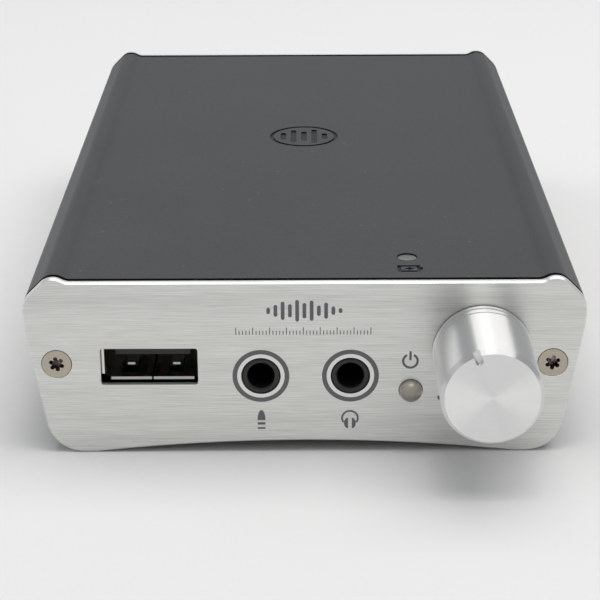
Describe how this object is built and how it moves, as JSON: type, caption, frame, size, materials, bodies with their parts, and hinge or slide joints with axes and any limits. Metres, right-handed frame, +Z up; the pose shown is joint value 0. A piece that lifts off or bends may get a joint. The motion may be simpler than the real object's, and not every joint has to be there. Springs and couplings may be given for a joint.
{
  "type": "portable headphone amplifier",
  "caption": "Pocket headphone amplifier and digital converter in an aluminium sleeve, with a volume knob, USB and jack sockets, switches and battery.",
  "frame": {"origin": "on the standing surface, under the middle of the whole object with its knob and levers", "axes": "+X to the right seen from the front, +Y from the front plate to the rear plate, +Z up"},
  "size_m": [0.075, 0.1358, 0.0255],
  "materials": {
    "sleeve_anodised": "bead-blasted and anodised dark grey, satin",
    "plate_silver": "fine horizontal brushing, clear anodised, bright cut bevel",
    "gasket_black": "matt black die-cut gasket",
    "screw_nickel": "warm nickel plate, faint turning marks",
    "knob_aluminium": "turned and clear anodised, spun face",
    "nylon_black": "moulded nylon",
    "plated_steel": "nickel-plated steel",
    "contact_gold": "gold-flashed contact strip",
    "track_phenolic": "resin board with carbon track",
    "switch_plastic": "moulded black plastic",
    "usb_nickel": "nickel-plated sheet, bright cut edges",
    "tongue_grey": "dark grey moulded insulator",
    "socket_black": "moulded black plastic, slight gloss on the rim",
    "lever_black": "moulded black plastic lever",
    "dome_grey": "milky warm-grey diffused epoxy",
    "pipe_clear": "frosted clear acrylic",
    "board_green": "solder-masked circuit board",
    "chip_black": "moulded chip packages with tinned leads",
    "can_aluminium": "drawn cans with printed band",
    "film_red": "dipped epoxy",
    "ferrite_grey": "moulded ferrite",
    "cell_blue": "heat-shrunk film",
    "tray_aluminium": "folded sheet, mill finish",
    "foam_grey": "closed-cell foam strip",
    "wire_red": "stranded lead in red sleeve",
    "plug_cream": "moulded wire-to-board plug"
  },
  "bodies": {
    "chassis": {"case_sleeve": "sleeve_anodised", "front_panel": "plate_silver", "rear_panel": "plate_silver", "front_gasket": "gasket_black", "rear_gasket": "gasket_black", "front_screws": "screw_nickel", "rear_screws": "screw_nickel", "pot_bushing": "plated_steel", "pot_nut": "plated_steel", "pot_washer": "plated_steel", "pot_pins": "plated_steel", "pot_housing": "plated_steel", "power_led_leads": "plated_steel", "dc_inlet_pin": "plated_steel", "optical_shutter_spring": "plated_steel", "gain_switch_frame": "plated_steel", "filter_switch_frame": "plated_steel", "mode_switch_frame": "plated_steel", "usb_contacts": "contact_gold", "line_jack_contacts": "contact_gold", "headphone_jack_contacts": "contact_gold", "pot_track_plate": "track_phenolic", "power_switch_block": "switch_plastic", "optical_emitter": "switch_plastic", "usb_shell": "usb_nickel", "usb_tongue": "tongue_grey", "line_jack_body": "socket_black", "headphone_jack_body": "socket_black", "dc_inlet_body": "socket_black", "optical_housing": "socket_black", "power_led": "dome_grey", "charge_light_pipe": "pipe_clear", "main_board": "board_green", "converter_chip": "chip_black", "usb_controller_chip": "chip_black", "amplifier_chips": "chip_black", "chip_resistors": "chip_black", "charge_led": "chip_black", "electrolytic_capacitors": "can_aluminium", "crystal_can": "can_aluminium", "shield_can": "can_aluminium", "film_capacitors": "film_red", "inductors": "ferrite_grey", "battery_pack": "cell_blue", "battery_tray": "tray_aluminium", "battery_pads": "foam_grey", "battery_leads": "wire_red", "battery_plug": "plug_cream"},
    "volume_control": {"volume_knob": "knob_aluminium", "knob_insert": "nylon_black", "pot_shaft": "plated_steel", "pot_wiper": "contact_gold"},
    "gain_slider": {"gain_switch_lever": "lever_black"},
    "filter_slider": {"filter_switch_lever": "lever_black"},
    "mode_slider": {"mode_switch_lever": "lever_black"},
    "shutter": {"optical_shutter": "socket_black"}
  },
  "joints": [
    {"name": "volume_turn", "type": "hinge", "parent": "chassis", "child": "volume_control", "pos_m": [0.02373, -0.053, 0.01495], "axis": [0, 1, 0], "range_deg": [-121, 161]},
    {"name": "gain_slide", "type": "slide", "parent": "chassis", "child": "gain_slider", "axis": [1, 0, 0], "range_m": [0, 0.002]},
    {"name": "filter_slide", "type": "slide", "parent": "chassis", "child": "filter_slider", "axis": [1, 0, 0], "range_m": [-0.002, 0.002]},
    {"name": "mode_slide", "type": "slide", "parent": "chassis", "child": "mode_slider", "axis": [1, 0, 0], "range_m": [-0.002, 0.002]},
    {"name": "shutter_swing", "type": "hinge", "parent": "chassis", "child": "shutter", "pos_m": [-0.009, 0.06515, 0.0166], "axis": [-1, 0, 0], "range_deg": [0, 80], "stiffness_Nm_per_rad": 0.0002, "springref_deg": -28.65}
  ]
}
